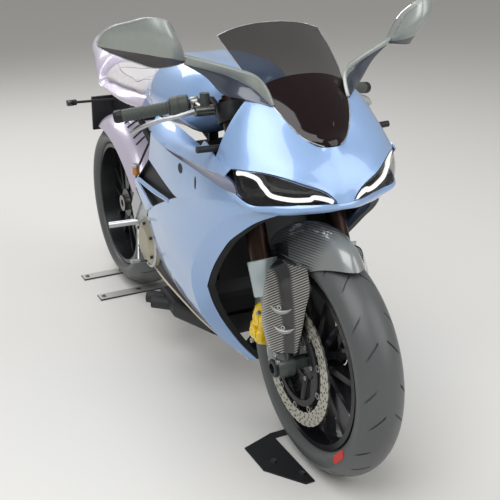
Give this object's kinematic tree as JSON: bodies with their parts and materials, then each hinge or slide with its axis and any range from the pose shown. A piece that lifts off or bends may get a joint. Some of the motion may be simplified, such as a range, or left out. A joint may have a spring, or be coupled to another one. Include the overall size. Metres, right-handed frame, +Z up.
{
  "type": "sport bike",
  "caption": "Pale blue sport bike with a faired nose, single-sided rear end, carbon mudguard, yellow front calipers and a low display stand at each wheel.",
  "frame": {"origin": "on the floor in the centre plane, below the middle of the overall length", "axes": "+X forward, +Y to the left, +Z up"},
  "size_m": [2.0159, 0.852, 1.131],
  "materials": {
    "tyre": "matt",
    "rim": "satin",
    "steel": "satin",
    "disc": "satin",
    "dark_alloy": "satin",
    "bronze": "satin",
    "silver": "satin",
    "yellow": "gloss",
    "black_metal": "satin",
    "rubber": "matt",
    "black_plastic": "matt",
    "carbon": "gloss",
    "blue": "metallic gloss",
    "deep_blue": "gloss",
    "lens": "clear gloss",
    "screen": "tinted gloss",
    "seat": "matt",
    "lilac": "metallic gloss",
    "engine": "cast",
    "champagne": "metallic gloss",
    "mirror_shell": "gloss",
    "red_lens": "gloss",
    "amber": "clear gloss"
  },
  "bodies": {
    "bike": {"upper_fairing": "blue", "chin": "deep_blue", "headlamps": "lens", "windscreen": "screen", "side_fairing_right": "blue", "side_fairing_left": "blue", "fuel_tank": "blue", "rider_seat": "seat", "tail_unit": "lilac", "frame": "black_metal", "engine_block": "engine", "engine_covers": "bronze", "radiator": "dark_alloy", "swingarm": "black_metal", "rear_caliper": "dark_alloy", "drive_chain": "steel", "front_sprocket": "steel", "rear_hugger": "lilac", "exhaust": "silver", "belly_pan": "champagne", "mirrors": "mirror_shell", "dashboard": "black_plastic", "fairing_stay": "black_metal", "subframe": "black_metal", "rearsets": "silver", "rear_shock": "dark_alloy", "plate_holder": "black_plastic", "tail_lamp": "red_lens", "display_stand": "black_metal", "floor_plates": "black_metal", "side_stand_bracket": "black_metal", "rear_reservoir": "amber"},
    "steering": {"yokes": "dark_alloy", "fork_tubes": "bronze", "fork_legs": "silver", "front_calipers": "yellow", "clip_ons": "black_metal", "grips": "rubber", "switchgear": "black_plastic", "levers": "silver", "front_mudguard": "carbon", "brake_ducts": "carbon"},
    "front_wheel": {"front_tyre": "tyre", "front_rim": "rim", "front_discs": "disc"},
    "rear_wheel": {"rear_tyre": "tyre", "rear_rim": "rim", "rear_hub": "steel", "rear_sprocket": "steel", "rear_disc": "disc"},
    "side_stand": {"side_stand": "black_metal"}
  },
  "joints": [
    {"name": "steering", "type": "hinge", "parent": "bike", "child": "steering", "pos_m": [0.806, 0, 0], "axis": [-0.4067, 0, 0.9135], "range_deg": [-26, 26]},
    {"name": "front_wheel_spin", "type": "hinge", "parent": "steering", "child": "front_wheel", "pos_m": [0.708, 0, 0.3], "axis": [0, 1, 0], "continuous": true},
    {"name": "rear_wheel_spin", "type": "hinge", "parent": "bike", "child": "rear_wheel", "pos_m": [-0.692, 0, 0.316], "axis": [0, 1, 0], "continuous": true},
    {"name": "side_stand_fold", "type": "hinge", "parent": "bike", "child": "side_stand", "pos_m": [-0.052, 0.168, 0.236], "axis": [0, -0.9659, -0.2588], "range_deg": [0, 100]}
  ]
}
